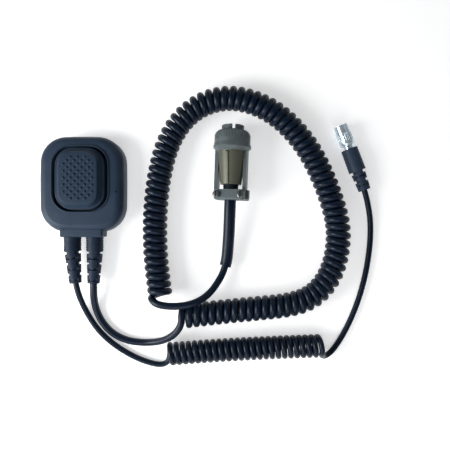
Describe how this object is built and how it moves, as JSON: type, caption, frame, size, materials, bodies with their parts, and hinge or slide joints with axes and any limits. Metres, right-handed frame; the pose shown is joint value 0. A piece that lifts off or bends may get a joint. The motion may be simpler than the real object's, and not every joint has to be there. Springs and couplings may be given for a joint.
{
  "type": "hand microphone",
  "caption": "Push-to-talk hand microphone with a large dimpled press pad and curly cords to a rugged round plug and a small push-pull plug.",
  "frame": {"origin": "centre of the housing's flat back face, which it lies on", "axes": "+X to the right across the housing, +Y away from the cord end, +Z out of the press pad"},
  "size_m": [0.2461, 0.2095, 0.0277],
  "materials": {
    "housing_plastic": "fine-textured moulded plastic, blue-black",
    "pad_plastic": "satin moulded plastic with raised nubs",
    "seal_rubber": "soft black rubber",
    "inner_plastic": "plain moulded plastic",
    "board_laminate": "green solder-masked laminate",
    "screw_steel": "bright plated steel",
    "wire_insulation": "coloured wire insulation",
    "boot_rubber": "moulded rubber, dull",
    "cord_jacket": "satin cord jacket",
    "plug_grey": "dull grey-olive plating",
    "plug_chrome": "bright satin chrome",
    "insert_plastic": "black moulded insert",
    "contact_brass": "gold-plated brass"
  },
  "bodies": {
    "unit": {"front_cover": "housing_plastic", "back_cover": "housing_plastic", "gland_plate": "housing_plastic", "pad_seal": "seal_rubber", "housing_seal": "seal_rubber", "mic_holder": "seal_rubber", "radio_plug_cable_bush": "seal_rubber", "pad_frame": "inner_plastic", "switch_body": "inner_plastic", "terminal_block": "inner_plastic", "cord_grip": "inner_plastic", "circuit_board": "board_laminate", "housing_screws": "screw_steel", "board_screws": "screw_steel", "grip_screws": "screw_steel", "radio_plug_clamp_screws": "screw_steel", "return_spring": "screw_steel", "headset_plug_spring": "screw_steel", "mic_capsule": "screw_steel", "radio_wires": "wire_insulation", "headset_wires": "wire_insulation", "radio_boot": "boot_rubber", "headset_boot": "boot_rubber", "headset_plug_boot": "boot_rubber", "radio_cord_lead": "cord_jacket", "radio_cord_coil": "cord_jacket", "radio_cord_tail": "cord_jacket", "radio_cord_sleeve": "cord_jacket", "headset_cord_lead": "cord_jacket", "headset_cord_coil": "cord_jacket", "headset_cord_tail": "cord_jacket", "radio_plug_backshell": "plug_grey", "radio_plug_clamp_frame": "plug_grey", "radio_plug_clamp_saddle": "plug_grey", "radio_plug_barrel": "plug_grey", "headset_plug_core": "plug_chrome", "radio_plug_insert": "insert_plastic", "headset_plug_insert": "insert_plastic", "radio_plug_contacts": "contact_brass", "headset_plug_contacts": "contact_brass"},
    "pad": {"talk_pad": "pad_plastic"},
    "plunger": {"switch_plunger": "inner_plastic"},
    "coupling_ring": {"radio_plug_coupling_ring": "plug_grey"},
    "slider": {"headset_plug_slider": "plug_chrome"}
  },
  "joints": [
    {"name": "pad_press", "type": "slide", "parent": "unit", "child": "pad", "axis": [0, 0, -1], "range_m": [0, 0.0015], "stiffness_N_per_m": 1200, "springref_m": -0.001, "deforming": ["return_spring"]},
    {"name": "plunger_press", "type": "slide", "parent": "unit", "child": "plunger", "axis": [0, 0, -1], "range_m": [0, 0.0015]},
    {"name": "coupling_ring_turn", "type": "hinge", "parent": "unit", "child": "coupling_ring", "pos_m": [0.10939, 0.03427, 0.014], "axis": [0.0366, 0.9993, 0], "continuous": true},
    {"name": "slider_pull", "type": "slide", "parent": "unit", "child": "slider", "axis": [0.3535, -0.9354, 0], "range_m": [0, 0.0013], "stiffness_N_per_m": 700, "springref_m": -0.001}
  ],
  "couplings": [
    {"joint": "plunger_press", "follows": "pad_press", "ratio": 1}
  ]
}
